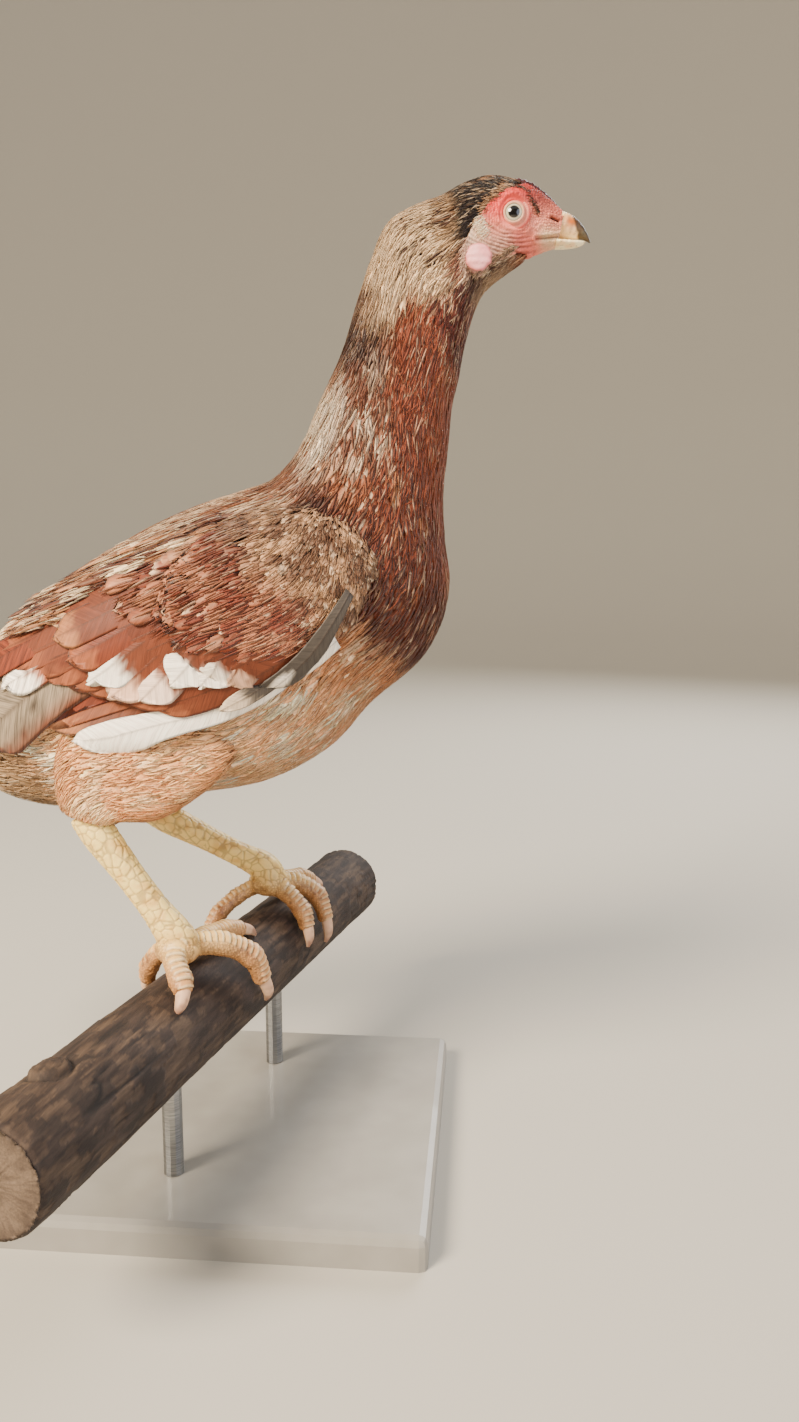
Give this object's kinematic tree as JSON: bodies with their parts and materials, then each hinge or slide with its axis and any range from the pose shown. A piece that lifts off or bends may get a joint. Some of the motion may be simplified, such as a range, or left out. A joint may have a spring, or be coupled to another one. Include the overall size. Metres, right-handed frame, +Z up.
{
  "type": "aseel hen",
  "caption": "Still, life-size Aseel hen gripping a short cut perch, held by a plain display stand with a flat base and two short rods.",
  "frame": {"origin": "centre of the underside of the display stand's base", "axes": "+X the way the hen faces, +Y her left, +Z up"},
  "size_m": [0.403, 0.3758, 0.4935],
  "materials": {
    "plumage": "rufous feathers with cream and white mottling",
    "hackle": "cream, buff and rufous hackle feathers, flecked",
    "face_skin": "bare red pebbled skin",
    "lobe_skin": "pinkish white bare skin",
    "beak_horn": "horn-coloured keratin, darker along the ridge",
    "eye_gloss": "pearl iris, black pupil, wet gloss",
    "leg_scales": "pale yellow scales",
    "claw_horn": "pinkish horn",
    "bark": "weathered grey-brown bark",
    "base_paint": "board painted pale grey",
    "rod_steel": "drawn steel rod"
  },
  "bodies": {
    "root": {"torso": "plumage", "tail": "plumage", "wing_left": "plumage", "wing_right": "plumage", "thigh_left": "plumage", "thigh_right": "plumage", "neck": "hackle", "head": "face_skin", "comb": "face_skin", "earlobe_left": "lobe_skin", "earlobe_right": "lobe_skin", "beak_upper": "beak_horn", "beak_lower": "beak_horn", "eye_left": "eye_gloss", "eye_right": "eye_gloss", "shank_left": "leg_scales", "shank_right": "leg_scales", "foot_left": "leg_scales", "foot_right": "leg_scales", "claw_middle_left": "claw_horn", "claw_outer_left": "claw_horn", "claw_inner_left": "claw_horn", "claw_hind_left": "claw_horn", "claw_middle_right": "claw_horn", "claw_outer_right": "claw_horn", "claw_inner_right": "claw_horn", "claw_hind_right": "claw_horn", "perch": "bark", "stand_base": "base_paint", "stand_rod_near": "rod_steel", "stand_rod_far": "rod_steel"}
  },
  "joints": []
}
